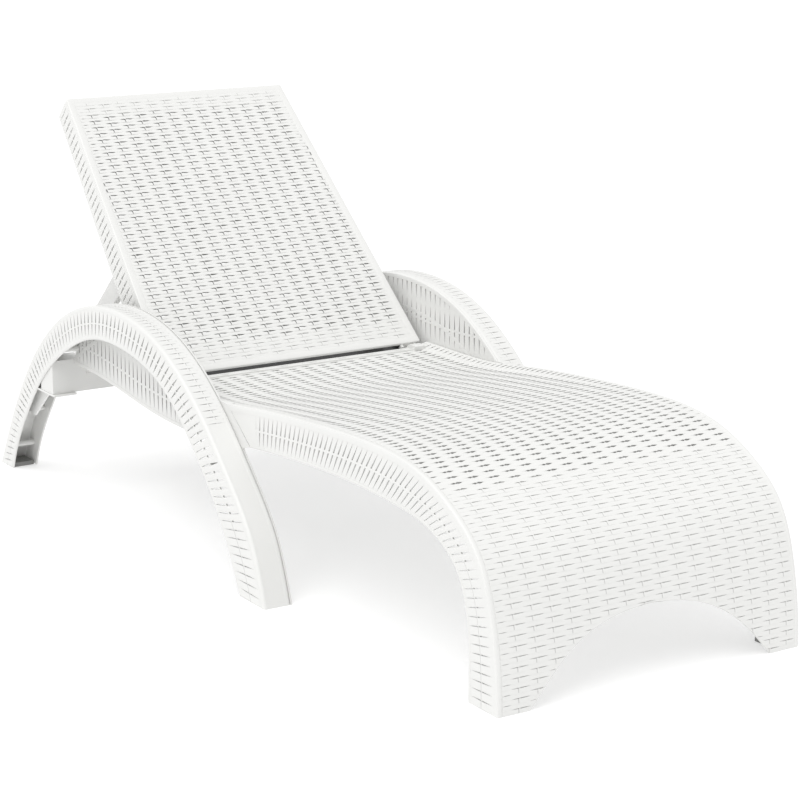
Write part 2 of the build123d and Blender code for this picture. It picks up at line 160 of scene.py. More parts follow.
# %% Closed shells from grids of points
def outward(points, faces):
    """Faces turned so that the volume, the sum of a.(b x c)/6 over the fans of all faces, is positive."""
    volume = 0.0
    for f in faces:
        for k in range(1, f.shape[1] - 1):
            a, b, c = points[f[:, 0]], points[f[:, k]], points[f[:, k + 1]]
            volume += np.einsum("ij,ij->", a, np.cross(b, c))
    return points, [f if volume > 0 else f[:, ::-1] for f in faces]


def tube(grid, shade=None):
    """A grid of n rings of k points, joined by quads and capped at both ends. shade, one value for each point,
    says how much painted shade it gets."""
    n, k = grid.shape[:2]
    i = np.arange(n * k).reshape(n, k)
    quads = np.stack([i[:-1], np.roll(i[:-1], -1, 1), np.roll(i[1:], -1, 1), i[1:]], -1).reshape(-1, 4)
    centre = grid.reshape(-1, 3) - grid.reshape(-1, 3).mean(0)
    turned = outward(centre, [quads, np.array([i[0][::-1], i[-1]])])[1]
    if shade is None:
        return grid.reshape(-1, 3), turned
    return grid.reshape(-1, 3), turned, shade.ravel()


def loop(grid):
    """A grid of n rings of k points, closed on itself like a picture frame."""
    n, k = grid.shape[:2]
    i = np.arange(n * k).reshape(n, k)
    j = np.roll(i, -1, 0)
    quads = np.stack([i, np.roll(i, -1, 1), np.roll(j, -1, 1), j], -1).reshape(-1, 4)
    centre = grid.reshape(-1, 3) - grid.reshape(-1, 3).mean(0)
    return grid.reshape(-1, 3), outward(centre, [quads])[1]


def slab(place, u, v, low, high):
    """A plate on a surface: at each v a section that goes out over u at one height and back at the other.
    u may be a row of values, or one row for each v."""
    u = np.broadcast_to(np.asarray(u, float), (len(v), np.shape(u)[-1]))
    section = np.concatenate([u, u[:, ::-1]], 1)
    height = np.concatenate([np.full(u.shape, high), np.full(u.shape, low)], 1)
    return tube(place(section, np.asarray(v, float)[:, None], height))


def extruded(outline, x0, x1):
    """An outline in (Y, Z), in millimetres, carried from X = x0 to X = x1."""
    yz = np.array(outline, float) * MM
    rings = [np.stack([np.full(len(yz), x * MM), yz[:, 0] - LENGTH / 2 * MM, yz[:, 1]], 1) for x in (x0, x1)]
    return tube(np.array(rings))


def rod(y, z, radius, x0, x1, sides=20):
    """A round rod along X, as an outline of cosines and sines."""
    turn = np.arange(sides) * 2 * pi / sides
    return extruded(np.stack([y + radius * np.cos(turn), z + radius * np.sin(turn)], 1), x0, x1)


def mirrored(shells):
    """The same shells on the other side, with their faces turned back outwards."""
    flip = np.array([-1, 1, 1])
    return [(points * flip, [f[:, ::-1] for f in faces], *shade) for points, faces, *shade in shells]


def piece(name, shells, body, finish, slot, *nodes, smooth=38):
    """One object from many shells, in one pass of foreach_set, riding on a body and standing for CAD nodes."""
    loops, sizes, points, slits, start = [], [], [], [], 0
    for p, faces, *shade in shells:
        depth = shade[0] if shade else np.zeros(len(p))
        for f in faces:
            deep = depth[f]
            loops.append((f + start).ravel())
            sizes.append(np.full(len(f), f.shape[1]))
            slits.append(np.where(np.ptp(deep, axis=1) < 0.01, 0, deep.T).T.ravel())
        points.append(p)
        start += len(p)
    loops, sizes, points = np.concatenate(loops), np.concatenate(sizes), np.concatenate(points)
    mesh = bpy.data.meshes.new(name)
    mesh.vertices.add(len(points))
    mesh.vertices.foreach_set("co", points.astype(np.float32).ravel())
    mesh.loops.add(len(loops))
    mesh.loops.foreach_set("vertex_index", loops.astype(np.int32))
    mesh.polygons.add(len(sizes))
    mesh.polygons.foreach_set("loop_start", (np.cumsum(sizes) - sizes).astype(np.int32))
    mesh.update(calc_edges=True)
    slit = mesh.attributes.new("slit", "FLOAT", "CORNER")
    slit.data.foreach_set("value", np.concatenate(slits).astype(np.float32))
    mesh.validate()
    mesh.shade_smooth()
    mesh.set_sharp_from_angle(angle=radians(smooth))
    obj = bpy.data.objects.new(name, mesh)
    bpy.context.collection.objects.link(obj)
    mesh.materials.append(finish)
    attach(obj, body)
    if nodes:
        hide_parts(*nodes)
    print(f"{name}: {int((sizes - 2).sum())} triangles")


# %% [markdown]
# The lounger is one thermoplastic, so nearly all of it is one material. Colours are written as the sRGB
# values that a colour picker shows, and one function turns them to the linear values that light needs.


# %% Colour and node helpers
def linear(code):
    """sRGB hex to linear: c/12.92 near black, and ((c+0.055)/1.055)^2.4 above it."""
    channels = [int(code[i:i + 2], 16) / 255 for i in (1, 3, 5)]
    return [c / 12.92 if c <= 0.04045 else ((c + 0.055) / 1.055) ** 2.4 for c in channels] + [1.0]


def node(tree, kind, links=(), **settings):
    """Adds a node: a setting is a property, or an input named with in_, and a link is (output, input)."""
    made = tree.nodes.new(kind)
    for key, value in settings.items():
        if key.startswith("in_"):
            made.inputs[key[3:].replace("_", " ")].default_value = value
        else:
            setattr(made, key, value)
    for output, socket in links:
        tree.links.new(output, made.inputs[socket])
    return made


def blank(name):
    """A material with only a Principled shader joined to its output."""
    material = bpy.data.materials.new(name)
    material.use_nodes = True
    tree = material.node_tree
    return material, tree, tree.nodes["Principled BSDF"]


# %% [markdown]
# The resin is polypropylene filled with white pigment, injection moulded. It looks like satin: a soft broad
# gloss, a very fine grain from the spark-eroded mould, and slow changes of gloss where the melt flowed.
# Light enters a little way and comes out again, which takes the hardness out of its shadows.


# %% White moulded polypropylene
def moulded_resin(name, colour, shade, roughness, grain_mm, depth_mm):
    """Base colour drifts between two whites over 120 mm, and a noise of grain_mm gives bump and gloss. The
    attribute slit is painted shade, for places that the bright stage would light too much: from 0.02 to 0.4 it
    turns the walls of a slit grey, and from 1.5 to 2.5 it turns the joint line at the hinge nearly black."""
    material, tree, shader = blank(name)
    place = node(tree, "ShaderNodeTexCoord").outputs["Object"]
    flow = node(tree, "ShaderNodeTexNoise", [(place, "Vector")], in_Scale=1 / 0.12, in_Detail=3.0)
    grain = node(tree, "ShaderNodeTexNoise", [(place, "Vector")], in_Scale=1 / (grain_mm * MM), in_Detail=2.0)
    tint = node(tree, "ShaderNodeMix", [(flow.outputs["Fac"], "Factor")], data_type="RGBA")
    tint.inputs["A"].default_value = linear(colour)
    tint.inputs["B"].default_value = linear(shade)
    gloss = node(tree, "ShaderNodeMapRange", [(grain.outputs["Fac"], "Value")],
                 in_To_Min=roughness - 0.06, in_To_Max=roughness + 0.08)
    bump = node(tree, "ShaderNodeBump", [(grain.outputs["Fac"], "Height")],
                in_Strength=0.35, in_Distance=depth_mm * MM)
    slit = node(tree, "ShaderNodeAttribute", attribute_name="slit")
    deep = node(tree, "ShaderNodeMapRange", [(slit.outputs["Fac"], "Value")], in_From_Min=0.02, in_From_Max=0.4)
    shaded = node(tree, "ShaderNodeMix", [(deep.outputs["Result"], "Factor"), (tint.outputs["Result"], "A")],
                  data_type="RGBA")
    shaded.inputs["B"].default_value = linear("#5E5E5D")
    seam = node(tree, "ShaderNodeMapRange", [(slit.outputs["Fac"], "Value")], in_From_Min=1.5, in_From_Max=2.5)
    joint = node(tree, "ShaderNodeMix", [(seam.outputs["Result"], "Factor"), (shaded.outputs["Result"], "A")],
                 data_type="RGBA")
    joint.inputs["B"].default_value = linear("#242424")
    tree.links.new(joint.outputs["Result"], shader.inputs["Base Color"])
    tree.links.new(gloss.outputs["Result"], shader.inputs["Roughness"])
    tree.links.new(bump.outputs["Normal"], shader.inputs["Normal"])
    shader.inputs["IOR"].default_value = 1.49
    print("material", name)
    return material


resin = moulded_resin("white_moulded_polypropylene", "#E3E3E1", "#DEDEDC", 0.42, 1.2, 0.06)
smooth_resin = moulded_resin("white_polypropylene_plain", "#E1E1DF", "#DADAD8", 0.36, 2.0, 0.04)

# %% [markdown]
# The weave is the heart of the look. Real wicker passes each strand over and under upright canes. The mould
# copies that: every strand is a ribbon with a rounded crown, and where a cane would pass its edges draw back
# into a slit, which narrows to a neck in its middle. In some fields a crease runs down from beside the neck, so
# that slit and crease make a T. On the deck, the bands and the back a slit's right half is the bigger, and
# alternate rows are shifted by half a period. A displaced sheet would smear these sharp slits, so each strand
# is its own closed ribbon: u runs along it, v counts rows across, and h is the height above the surface.


# %% One field of strands
ACROSS = np.array([-1, -0.62, 0, 0.62, 1.0])    # points across half of a ribbon's ring, -1 at its lower edge


def look(period, width, wave, drop, thick, inner=0.02, outer=0.27, shift=0.5, phase=0.0, tick=1.0, fade=0.0,
         neck=0.35, dip=0.7, dark=1.0, left=0.7):
    """How a field of strands is cut. Inner, outer, shift and phase are shares of the period, and width is a
    share of a row. The wave, drop, thick, tick and dip are heights in millimetres. A slit has the share neck of
    its width in the middle, is widest at twice inner and ends at outer. Slits fade out over the length fade at
    a strand's ends. Dark is how much painted shade greys their walls, and left is the size of a slit's left
    half beside its right. Tick is the depth of the crease."""
    return {"period": period, "width": width, "wave": wave * MM, "drop": drop * MM, "thick": thick * MM,
            "inner": inner, "outer": outer, "shift": shift, "phase": phase, "tick": tick * MM, "fade": fade,
            "neck": neck, "dip": dip * MM, "dark": dark, "left": left}


def from_middle(u, edge, cut):
    """Distance in periods from the middle of the nearest slit on a row edge, from -0.5 to 0.5."""
    return (u / cut["period"] - cut["phase"] - cut["shift"] * (edge % 2) + 0.5) % 1 - 0.5


def opening(u, edge, cut):
    """Half width of a slit, 0 to 1: the neck in the middle, a quick rise beside it, then a taper to the end.
    The left half is the same shape, scaled by left both ways."""
    side = from_middle(u, edge, cut)
    size = np.where(side > 0, 1, cut["left"])
    d = np.abs(side) / size
    rise = cut["neck"] + (1 - cut["neck"]) * np.clip(d / cut["inner"] - 1, 0, 1)
    fall = np.clip((cut["outer"] - d) / (cut["outer"] - cut["inner"]), 0, 1)
    clear = np.clip(np.minimum(u - u[0], u[-1] - u) / cut["fade"], 0, 1) if cut["fade"] else 1
    return rise * fall ** 0.65 * clear * size


def stations(start, end, row, cut):
    """Where a strand has a ring of points: sixteen to a period, with more at a slit's neck and the crease."""
    crease = 1.5 * MM / cut["period"] if cut["period"] < 0.2 else 0.018
    neck = cut["inner"] * np.array([-2, -1, 1, 2])
    share = np.concatenate([np.arange(16) / 16, neck, cut["shift"] + neck,
                            [-cut["inner"] - crease, -cut["inner"] + crease]]) % 1
    first = cut["phase"] + cut["shift"] * ((row + 1) % 2)
    turns = np.arange(np.floor(start / cut["period"]) - 2, np.ceil(end / cut["period"]) + 2)
    u = np.unique(np.round(((first + share[None, :] + turns[:, None]) * cut["period"]).ravel(), 7))
    inside = u[(u > start + 0.02 * cut["period"]) & (u < end - 0.02 * cut["period"])]
    return np.concatenate([[start], inside, [end]])


def strands(place, rows, spans, cut, trim=None, two_sided=False):
    """Closed ribbons, one for each row and span. Across a ribbon the height falls as drop*|t|^2.5 from its
    crown, and by dip more below the slit on its upper edge. Along it the height waves as (w*cos - |w|)/2, so a
    wave below zero has its low point at that slit, which opens the slit to a flat view. The crease is one low
    ring just left of the slit's neck, over all the ribbon but its lower edge."""
    shells = []
    for row in rows:
        for start, end in spans(row):
            u = stations(start, end, row, cut)
            above, below = opening(u, row + 1, cut), opening(u, row, cut)
            high = row + 1.004 - above * cut["width"]
            low = row - 0.004 + below * cut["width"]
            v = (high + low)[:, None] / 2 + (high - low)[:, None] / 2 * ACROSS
            d = from_middle(u, row + 1, cut)
            wave = (cut["wave"] * np.cos(2 * pi * d) - abs(cut["wave"])) / 2
            crease = (np.abs(d + cut["inner"]) < 0.004)[:, None] * np.clip((ACROSS + 1) / 0.4, 0, 1)
            lobe = below[:, None] * (ACROSS == -1) + above[:, None] * (ACROSS == 1)
            dip = above[:, None] * np.clip(1.5 * ACROSS - 0.5, 0, 1)
            h = wave[:, None] - cut["drop"] * np.abs(ACROSS) ** 2.5 - cut["tick"] * crease - cut["dip"] * dip
            # Painted shade: some in the crease and at a slit's edges, and the full dark along the underside, so
            # that a slit's walls turn grey.
            shade = cut["dark"] * (0.6 * crease * (cut["tick"] > 0) + 0.25 * lobe)
            if two_sided:
                under = -cut["thick"] - h[:, ::-1]
                v = np.concatenate([v, v[:, ::-1]], 1)
            else:
                under = np.full((len(u), 2), -cut["thick"])
                v = np.concatenate([v, v[:, [-1, 0]]], 1)
            shade = np.concatenate([shade, np.full(under.shape, cut["dark"])], 1)
            h = np.concatenate([h, under], 1)
            u = np.broadcast_to(u[:, None], v.shape)
            shells.append(tube(place(u if trim is None else trim(u, v), v, h), shade))
    return shells


def smooth_step(x, start, end):
    """0 before start, 1 after end, and 3t^2 - 2t^3 between."""
    t = np.clip((x - start) / (end - start), 0, 1)
    return t * t * (3 - 2 * t)


# %% [markdown]
# The deck is one sheet that rises from the ground at the foot, rolls over the knee and runs flat to the hinge.
# Its surface is the outline carried across X. Towards the hinge the seat sinks by up to 6.5 mm between its
# edges. The columns of slits stand a tenth further apart down the front than over the seat.

# %% Deck surface
ROW = 8.4 * MM
REAR_LIP = 9 * MM
deck_rows = int((deck_line["length"] - REAR_LIP) / ROW)
ROW = (deck_line["length"] - REAR_LIP) / deck_rows
JOIN_ROW = reach(deck_line, 876 * MM) / ROW    # where the arms' flange ends
KNEE_ROW = reach(deck_line, 165 * MM) / ROW    # below it the slits don't go through
front_rows = int(KNEE_ROW)
seat_rows = (front_rows + deck_rows) // 2
SPREAD_ROWS = 24                               # over which the columns close up
STRAND_HALF = (0.3005, 0.2965)                 # half length of a strand ahead of the flange and behind it


def deck_place(u, v, h):
    """X is u, and (Y, Z) is the deck line at v rows, moved out along its normal by h less the seat's hollow."""
    y, z, ny, nz = along(deck_line, v * ROW)
    hollow = 6.5 * MM * smooth_step(y, 0.42, 0.80) * (1 - smooth_step(np.abs(u), 0.262, 0.299))
    out = h - hollow
    return np.stack(np.broadcast_arrays(u, y + ny * out - LENGTH / 2 * MM, np.maximum(z + nz * out, 0)), -1)


def arch_half(v):
    """Half width of the foot opening at row v: the arch's own outline, read across at that height."""
    half = foot_arch["p"][len(foot_arch["p"]) // 2:]
    z = along(deck_line, v * ROW)[1]
    return np.where(z < half[0, 1], np.interp(z, half[::-1, 1], half[::-1, 0]), 0)


def deck_spans(row):
    """Rows that meet the foot opening are in two halves."""
    edge = STRAND_HALF[0] if row < JOIN_ROW - 1 else STRAND_HALF[1]
    gap = float(arch_half(np.array(row + 1.0)))
    below = float(arch_half(np.array(float(row))))
    return [(-edge, edge)] if below == 0 else [(-edge, -max(gap, 0.0002)), (max(gap, 0.0002), edge)]


def deck_trim(u, v):
    """Strands stop at the foot opening."""
    gap = arch_half(v)
    return np.sign(u) * np.maximum(np.abs(u), gap)


def spread(v):
    """How far apart the columns stand at row v, beside the seat's: 1.1 down the front, then down to 1."""
    return 1.1 - 0.1 * smooth_step(np.asarray(v, float), front_rows, front_rows + SPREAD_ROWS)


def woven_place(u, v, h):
    """As deck_place, with u spread out."""
    return deck_place(u * spread(v), v, h)


def woven_spans(row):
    """The deck's spans, measured before they are spread."""
    wide = float(spread(row + 0.5))
    return [(start / wide, end / wide) for start, end in deck_spans(row)]


def woven_trim(u, v):
    """Strands stop at the foot opening, measured before they are spread."""
    return deck_trim(u * spread(v), v) / spread(v)


PERIOD = 66.8 * MM
hole_cut = look(PERIOD, 0.25, -0.9, 0.3, 3.6, outer=0.17, phase=0.858, tick=0.0, fade=12 * MM, dip=1.2,
                neck=0.3, left=0.75, dark=0.42)
groove_cut = look(PERIOD, 0.11, 0.4, 0.15, 3.6, outer=0.3, phase=0.858, tick=0.7, fade=8 * MM, dip=0.4,
                  dark=0.3)
front = strands(woven_place, range(0, front_rows), woven_spans, groove_cut, woven_trim)
piece("deck_weave_front", front, "base", resin, "resin_weave", "seat_deck")
for label, first, last in (("knee", front_rows, seat_rows), ("seat", seat_rows, deck_rows)):
    shells = strands(woven_place, range(first, last), woven_spans, hole_cut)
    piece(f"deck_weave_{label}", shells, "base", resin, "resin_weave", "seat_deck")

# %% [markdown]
# Down the front the slits don't go through: the mould leaves a skin behind them. A thin sheet just under the
# strands closes them, and it stops at the foot opening, whose cut edge gets a narrow lip.

# %% Skin behind the front, and the lip of the foot opening
SKIN = (-3.9 * MM, -2.1 * MM)    # heights of a sheet behind the strands
SKIN_HALF = 0.301
foot_rise = deck_line["p"][:400, 1]
foot_reach = deck_line["s"][:400]
apex_row = reach({"p": deck_line["p"][:, ::-1], "s": deck_line["s"]}, 130 * MM) / ROW
upper = np.arange(apex_row, KNEE_ROW + 1.01, 0.5)
lower = np.linspace(0.02, apex_row, 40)
t = np.linspace(0, 1, 9)
skin = [slab(deck_place, np.linspace(-SKIN_HALF, SKIN_HALF, 13), upper, *SKIN)]
halves = slab(deck_place, arch_half(lower)[:, None] * (1 - t) + SKIN_HALF * t, lower, *SKIN)
skin += [halves] + mirrored([halves])
lip_x, lip_z, lip_nx, lip_nz = along(foot_arch, np.linspace(0, foot_arch["length"], 90))
lip_rings = []
for away, height in ((-0.2, -0.4), (2.4, -0.9), (2.4, -4.1), (-0.2, -4.1)):
    side = lip_x + lip_nx * away * MM
    rise = np.maximum(lip_z + lip_nz * away * MM, 0)
    row_at = np.interp(rise, foot_rise, foot_reach) / ROW
    lip_rings.append(deck_place(side, row_at, np.full(len(side), height * MM)))
skin.append(tube(np.stack(lip_rings, 1)))
piece("deck_front_skin", skin, "base", resin, "resin_weave", "seat_deck")

# %% [markdown]
# A rounded rim runs up the deck's two edges, where top and skirt meet. It is a small profile carried along the
# deck line. Behind the arms' flange the deck is narrower, because it passes between their inner walls.


# %% Rims of the deck
def rim(place, v, half, profile):
    """A closed profile of (distance in from the edge, height), in millimetres, carried along v."""
    d, h = np.array(profile, float).T * MM
    return tube(place(half - d[None, :], np.asarray(v)[:, None], np.broadcast_to(h, (len(v), len(h)))))


EDGE = [(10.5, -1.2), (8.5, -0.3), (5, 0), (2.6, -0.3), (0.9, -1.2), (0.15, -3.0), (0, -6), (0, -12.5),
        (4, -12.5), (4, -6), (10.5, -4.2)]
front_v = np.linspace(0.02, JOIN_ROW, 150)
rear_v = np.linspace(JOIN_ROW - 0.2, deck_line["length"] / ROW - 0.1, 40)
rims = [rim(deck_place, front_v, DECK_HALF * MM, EDGE), rim(deck_place, rear_v, DECK_REAR_HALF * MM, EDGE)]
rims += mirrored(rims)
lip = [(0.2, -1.4), (1.0, -0.2), (6, 0), (8.6, -1.0), (9.3, -3.0), (9.3, -7.5), (6.5, -7.5), (6.0, -4),
       (0.2, -4)]
lip_s, lip_h = np.array(lip).T * MM
across = np.linspace(-0.3, 0.3, 41)
lip_rows = deck_rows + lip_s[None, :] / ROW
rims.append(tube(deck_place(across[:, None], lip_rows, np.broadcast_to(lip_h, (41, 9)))))
piece("deck_rims", rims, "base", resin, "resin_weave", "seat_deck")

# %% [markdown]
# The skirts hang from the rims. Their slots are cut across the skirt and open widest beside a bridge half way
# down, so the same field of strands does it: u runs from the lower edge to the upper, as a share from 0 to 1,
# and v counts slots along the skirt. Near the ground they are only thin slits.

# %% Skirts of the deck
SLOTS = 62
SKIRT_END = 773 * MM
THIN_END = 66 * MM
skirt_end = reach(deck_line, SKIRT_END)
skirt_low_end = reach(skirt_line, SKIRT_END)


def skirt_place(u, v, h):
    """Between the skirt's lower line, in by 5 mm, and the deck line, in by 12 mm, at the same share of both."""
    y0, z0, ny0, nz0 = along(skirt_line, v / SLOTS * skirt_low_end)
    y1, z1, ny1, nz1 = along(deck_line, v / SLOTS * skirt_end)
    y = (y0 + ny0 * 5 * MM) * (1 - u) + (y1 - ny1 * 12 * MM) * u - LENGTH / 2 * MM
    z = np.maximum((z0 + nz0 * 5 * MM) * (1 - u) + (z1 - nz1 * 12 * MM) * u, 0)
    return np.stack(np.broadcast_arrays(DECK_HALF * MM + h, y, z), -1)


def across_whole(row):
    """A strand that crosses the whole skirt or ring, at any row."""
    return [(0.0, 1.0)]


slot_cut = look(1.0, 0.15, 0.3, 0.3, 3.4, inner=0.02, outer=0.48, shift=0.0, phase=0.5, tick=0.0, neck=0.0,
                dip=0.3, dark=0.16, left=1.0)
line_cut = look(1.0, 0.06, 0.2, 0.15, 3.4, outer=0.47, shift=0.0, phase=0.5, tick=0.8, dip=0.3, dark=0.3,
                left=1.0)
low_slots = int(reach(deck_line, THIN_END) / skirt_end * SLOTS)
skirt = strands(skirt_place, range(0, low_slots), across_whole, line_cut)
skirt += strands(skirt_place, range(low_slots, SLOTS), across_whole, slot_cut)
low_v = np.linspace(0, skirt_line["length"], 120)
y, z, ny, nz = along(skirt_line, low_v)
bead = []
for out, side in ((0, 4), (0, 1.0), (0.8, 0.2), (2, 0), (6, 0), (6, 4)):
    bead.append(np.stack([np.full(len(y), (DECK_HALF - side) * MM), y + ny * out * MM - LENGTH / 2 * MM,
                          np.maximum(z + nz * out * MM, 0)], 1))
skirt.append(tube(np.stack(bead, 1)))
join_plate = [(771, 265), (794, 261), (876, 322), (840, 325), (771, 332)]
rear_skirt = [(800, 256), (1150, 256), (1150, 309), (1030, 309), (880, 316), (800, 322)]
skirt.append(extruded(join_plate, PANEL_IN, DECK_HALF - 0.4))
skirt.append(extruded(rear_skirt, 301.6, DECK_REAR_HALF))
piece("deck_skirts", skirt + mirrored(skirt), "base", resin, "resin_weave", "seat_deck")

# %% [markdown]
# Under the seat the mould has straight ribs, a rear wall and the two tongues that hold the hinge pins.

# %% Ribs, rear wall and hinge tongues
ribs = []
for x in (-200, -100, 0, 100, 200):
    rib_v = np.linspace(reach(deck_line, 150 * MM), deck_line["length"] - 0.031, 60) / ROW
    ribs.append(slab(deck_place, np.array([x - 1.5, x + 1.5]) * MM, rib_v, -26 * MM, -3.2 * MM))
ribs.append(extruded([(1120, 246), (1124, 246), (1124, 312), (1120, 312)], -301.6, 301.6))
tongue = [(1120, 262), (HINGE[0], 278), (HINGE[0] + 9.9, 282.1), (HINGE[0] + 14, 292),
          (HINGE[0] + 9.9, 301.9), (HINGE[0], 306), (1157, 305.5), (1141, 317), (1139, 318), (1119, 318),
          (1117, 317), (1117, 306), (1120, 300)]
tongues = [extruded(tongue, 252, 276.6)]
piece("deck_ribs", ribs + tongues + mirrored(tongues), "base", resin, "resin_weave", "seat_deck")

# %% [markdown]
# Each arm is an arch whose two ends are its legs. Its outer face is a ring between two outlines: at the same
# share of both outlines a strand crosses the ring, which spreads the slots like the spokes of a wheel. The
# slots are open over the arch and only thin slits near the ground.

# %% Outer faces of the arms
SPOKES = 85
THIN_BELOW = 0.12    # height under which a leg has only thin slits


def ring_place(u, v, h):
    """u runs from the inner outline (in by 6 mm) to the outer one (in by 8.5 mm), v counts spokes."""
    y0, z0, ny0, nz0 = along(inner_arch, v / SPOKES * inner_arch["length"])
    y1, z1, ny1, nz1 = along(outer_arch, v / SPOKES * outer_arch["length"])
    y = (y0 + ny0 * 6 * MM) * (1 - u) + (y1 - ny1 * 8.5 * MM) * u - LENGTH / 2 * MM
    z = np.maximum((z0 + nz0 * 6 * MM) * (1 - u) + (z1 - nz1 * 8.5 * MM) * u, 0)
    return np.stack(np.broadcast_arrays(ARM_HALF * MM + h, y, z), -1)


def carried(line, profile, count=180):
    """A closed profile of (distance in from the line, X), in millimetres, carried along a line."""
    y, z, ny, nz = along(line, np.linspace(0, line["length"], count))
    rings = [np.stack([np.full(count, x * MM), y - ny * d * MM - LENGTH / 2 * MM,
                       np.maximum(z - nz * d * MM, 0)], 1) for d, x in profile]
    return tube(np.stack(rings, 1))


ring_z = along(inner_arch, (np.arange(SPOKES) + 0.5) / SPOKES * inner_arch["length"])[1]
high_spokes = np.flatnonzero(ring_z > THIN_BELOW)
low_spokes = np.flatnonzero(ring_z <= THIN_BELOW)
arm = strands(ring_place, high_spokes, across_whole, slot_cut)
arm += strands(ring_place, low_spokes, across_whole, line_cut)
OUT = ARM_HALF
arm.append(carried(outer_arch, [(9.5, OUT - 0.6), (6.5, OUT), (3.5, OUT - 0.4), (1.2, OUT - 1.8),
                                (0.2, OUT - 4.2), (0, OUT - 7), (0.6, OUT - 9.5), (4, OUT - 9.5),
                                (4, OUT - 4), (9.5, OUT - 4)]))
arm.append(carried(outer_arch, [(0.6, 320.5), (0, 318), (0.3, 313), (1.4, 311.1), (3.2, SHELL_IN), (4, SHELL_IN),
                                (4, 320.5)]))
arm.append(carried(inner_arch, [(-7, OUT - 0.6), (-4, OUT), (-1.5, OUT - 0.5), (0, OUT - 2), (0, OUT - 4),
                                (-7, OUT - 4)]))
for y, z in SCREWS:
    arm.append(rod(y, z, 6, SHELL_IN, OUT - 3))

# %% [markdown]
# The band over the arch carries the same bricklike weave as the deck, but it is so narrow that an edge between
# rows shows one whole slit or only the ends of two. The weave stops a little below the deck's level, and the
# band is plain from there to the ground.

# %% Bands over the arms
BAND_ROW = 7.7 * MM
band_rows = int(outer_arch["length"] / BAND_ROW)
BAND_ROW = outer_arch["length"] / band_rows
band_z = along(outer_arch, (np.arange(band_rows) + 0.5) * BAND_ROW)[1]
WOVEN_ABOVE = 0.292
BAND = (0.3175, 0.3565)    # a strand of the band, from X to X in metres
woven = np.flatnonzero(band_z > WOVEN_ABOVE)


def band_place(u, v, h):
    """X is u, and the outer outline at v rows is moved out by h."""
    y, z, ny, nz = along(outer_arch, v * BAND_ROW)
    return np.stack(np.broadcast_arrays(u, y + ny * h - LENGTH / 2 * MM, np.maximum(z + nz * h, 0)), -1)


band_cut = look(65 * MM, 0.12, 0.2, 0.1, 3.4, outer=0.3, phase=12 / 65, tick=0.8, dip=0.4, dark=0.3)
arm += strands(band_place, woven, lambda row: [BAND], band_cut)
under_weave = np.arange(woven[0], woven[-1] + 1.5)
arm.append(slab(band_place, np.linspace(*BAND, 3), under_weave, -4 * MM, -2.2 * MM))
for v0, v1 in ((0, woven[0]), (woven[-1] + 1, band_rows)):
    arm.append(slab(band_place, np.linspace(*BAND, 5), np.linspace(v0, v1, 40), -4 * MM, -0.5 * MM))
SHELF_Z = 203.7
shelf = [(1537, SHELF_Z), (1537, SHELF_Z + 4), (1686, SHELF_Z + 4), (1690, SHELF_Z)]
gusset = [(1590, SHELF_Z), (1690, SHELF_Z), (1736, 140), (1672, 135)]
arm.append(extruded(shelf, SHELL_IN, OUT - 3))
arm.append(extruded(gusset, 343, 347))
piece("arm_right", arm, "base", resin, "resin_weave", "arm_shell_right")
piece("arm_left", mirrored(arm), "base", resin, "resin_weave", "arm_shell_left")

# %% [markdown]
# The inner wall of each arm reaches from the arch down to a rail under the deck. Its slots stand upright in
# rows that follow the rail, and it is seen from both sides, so its strands are crowned on both.

# %% Inner walls of the arms
PALE = 17.7 * MM
pale_start, pale_end = 822 * MM, 1538 * MM
pales = int((pale_end - pale_start) / PALE)
PALE = (pale_end - pale_start) / pales
FIRST_PALE = 5                      # ahead of it the wall is a plain plate
LEGS = ((0, 0.29), (0.775, 1))      # the two legs, as shares of the arch's length


def wall_top(y):
    """Height of the arch above the rail's lower line, in by 5 mm."""
    return np.interp(y, outer_arch["p"][:, 0], outer_arch["p"][:, 1]) - 5 * MM - wall_low(y)


def wall_low(y):
    """The rail's lower line, up by 5 mm."""
    return np.interp(y, rail_line["p"][:, 0], rail_line["p"][:, 1]) + 5 * MM


def wall_place(u, v, h):
    """u is the height above the rail's line, v counts upright strands, and the wall faces inwards."""
    y = pale_start + v * PALE
    return np.stack(np.broadcast_arrays((PANEL_IN + 0.1) * MM - h, y - LENGTH / 2 * MM, u + wall_low(y)), -1)


def wall_trim(u, v):
    """Strands end at the arch above."""
    return np.minimum(u, wall_top(pale_start + v * PALE))


def wall_spans(row):
    """From the rail's bead to the arch, at the higher side of the strand."""
    sides = wall_top(pale_start + (row + np.array([0.0, 1.0])) * PALE)
    return [(0.0, float(sides.max()))]


def leg_place(u, v, h):
    """As ring_place, moved in to the plane of the inner wall."""
    return ring_place(u, v, h) - np.array([ARM_HALF - DECK_HALF, 0, 0]) * MM


pale_cut = look(75 * MM, 0.12, 0.3, 0.3, 3.7, outer=0.46, shift=0.0, phase=38 / 75, tick=0.0, neck=0.0, dip=0.2,
                dark=0.2, left=1.0)
wall = strands(wall_place, range(FIRST_PALE, pales), wall_spans, pale_cut, wall_trim, two_sided=True)
plate = [(877, 322), (795, 258.4), (822, 250), (845, 248), (913, 245), (913, 322)]
wall.append(extruded(plate, 306.2, DECK_HALF - 0.3))    # short of the deck's side, so no two faces coincide
for first, last in LEGS:
    leg_v = np.linspace(first, last, 60) * SPOKES
    wall.append(slab(leg_place, np.linspace(-0.06, 1.08, 5), leg_v, -3.9 * MM, -0.05 * MM))
wall.append(carried(rail_line, [(0, PANEL_IN), (0, DECK_HALF), (-3, DECK_HALF + 0.15), (-7, DECK_HALF),
                                (-7, PANEL_IN), (-3, PANEL_IN)], 90))
wall.append(carried(outer_arch, [(0.5, 307.5), (1.2, 306.2), (3, 305.9), (9, 306), (9, 309.8), (0.5, 309.8)]))
wall.append(carried(inner_arch, [(-0.2, 306.2), (-0.2, 309.9), (-7, 310.1), (-7, 306)]))
